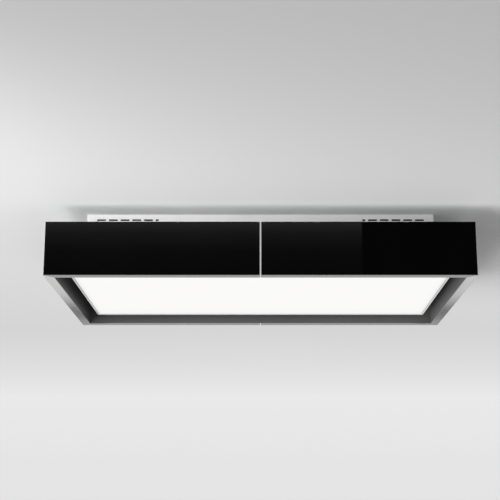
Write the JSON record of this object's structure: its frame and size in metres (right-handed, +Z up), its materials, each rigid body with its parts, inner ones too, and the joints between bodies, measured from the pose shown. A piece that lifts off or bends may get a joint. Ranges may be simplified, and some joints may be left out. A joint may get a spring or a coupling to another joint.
{
  "type": "island range hood",
  "caption": "Ceiling-hung island range hood: glass-sided frame with a hinged light panel, suction gap round it, grease filters, blower and slotted housing.",
  "frame": {"origin": "centre of the face that meets the ceiling, on top of the ceiling plate", "axes": "+X along the long side, +Y from the front to the back, +Z up into the ceiling"},
  "size_m": [1.2, 0.67, 0.208],
  "materials": {
    "black_glass": "gloss black back-painted glass",
    "brushed_steel": "brushed",
    "bright_trim": "bright anodised",
    "pale_paint": "satin light grey powder coat",
    "black_paint": "satin black powder coat",
    "galvanised": "galvanised sheet steel",
    "aluminium": "plain",
    "carbon_black": "activated carbon fleece in a frame",
    "black_plastic": "moulded",
    "white_plastic": "moulded",
    "white_paint": "white powder-coated aluminium sheet",
    "opal_acrylic": "opal diffuser, lit from inside",
    "black_rubber": "moulded",
    "zinc_plate": "zinc-plated"
  },
  "bodies": {
    "hood": {"ceiling_plate": "galvanised", "hanger_front": "galvanised", "hanger_back": "galvanised", "diverter_duct": "galvanised", "top_cover": "galvanised", "scroll_casing": "galvanised", "scroll_lid": "galvanised", "outlet_elbow": "galvanised", "control_box": "galvanised", "cable_grommet": "black_rubber", "upper_housing": "pale_paint", "housing_screw_left_front": "zinc_plate", "housing_screw_left_back": "zinc_plate", "housing_screw_right_front": "zinc_plate", "housing_screw_right_back": "zinc_plate", "motor_plate": "zinc_plate", "control_box_lid": "zinc_plate", "hinge_bracket_left": "zinc_plate", "hinge_bracket_right": "zinc_plate", "carbon_filter_left": "carbon_black", "carbon_filter_right": "carbon_black", "glass_front_left": "black_glass", "glass_front_right": "black_glass", "glass_back_left": "black_glass", "glass_back_right": "black_glass", "glass_left": "black_glass", "glass_right": "black_glass", "rail_front": "brushed_steel", "rail_back": "brushed_steel", "rail_left": "brushed_steel", "rail_right": "brushed_steel", "divider_front": "bright_trim", "divider_back": "bright_trim", "inner_liner": "black_paint", "filter_plate": "black_paint", "grease_filter_left": "aluminium", "grease_filter_centre": "aluminium", "grease_filter_right": "aluminium", "motor": "aluminium", "capacitor": "aluminium", "flap_frame": "black_plastic", "magnet_catch_left": "black_plastic", "magnet_catch_right": "black_plastic", "led_driver": "white_plastic", "terminal_block": "white_plastic"},
    "light_panel": {"panel_tray": "white_paint", "panel_trim": "bright_trim", "diffuser": "opal_acrylic", "led_strip_front": "white_plastic", "led_strip_back": "white_plastic", "hinge_leaf_left": "zinc_plate", "hinge_leaf_right": "zinc_plate", "strike_plate_left": "zinc_plate", "strike_plate_right": "zinc_plate"},
    "impeller_wheel": {"impeller": "black_plastic"},
    "flap_front_leaf": {"flap_front": "white_plastic"},
    "flap_back_leaf": {"flap_back": "white_plastic"},
    "latch_left": {"filter_latch_left": "black_plastic"},
    "latch_centre": {"filter_latch_centre": "black_plastic"},
    "latch_right": {"filter_latch_right": "black_plastic"}
  },
  "joints": [
    {"name": "light_panel_hinge", "type": "hinge", "parent": "hood", "child": "light_panel", "pos_m": [0, 0.267, -0.163], "axis": [1, 0, 0], "range_deg": [0, 88]},
    {"name": "impeller_spin", "type": "hinge", "parent": "hood", "child": "impeller_wheel", "pos_m": [-0.2, 0.1065, -0.095], "axis": [0, 0, 1], "continuous": true},
    {"name": "flap_front_hinge", "type": "hinge", "parent": "hood", "child": "flap_front_leaf", "pos_m": [-0.0617, -0.003, -0.095], "axis": [0, 0, 1], "range_deg": [0, 80], "stiffness_Nm_per_rad": 0.004, "springref_deg": -11.46},
    {"name": "flap_back_hinge", "type": "hinge", "parent": "hood", "child": "flap_back_leaf", "pos_m": [-0.0617, 0.003, -0.095], "axis": [0, 0, -1], "range_deg": [0, 80], "stiffness_Nm_per_rad": 0.004, "springref_deg": -11.46},
    {"name": "filter_latch_left_slide", "type": "slide", "parent": "hood", "child": "latch_left", "axis": [0, 1, 0], "range_m": [0, 0.006], "stiffness_N_per_m": 150, "springref_m": -0.002},
    {"name": "filter_latch_centre_slide", "type": "slide", "parent": "hood", "child": "latch_centre", "axis": [0, 1, 0], "range_m": [0, 0.006], "stiffness_N_per_m": 150, "springref_m": -0.002},
    {"name": "filter_latch_right_slide", "type": "slide", "parent": "hood", "child": "latch_right", "axis": [0, 1, 0], "range_m": [0, 0.006], "stiffness_N_per_m": 150, "springref_m": -0.002}
  ]
}
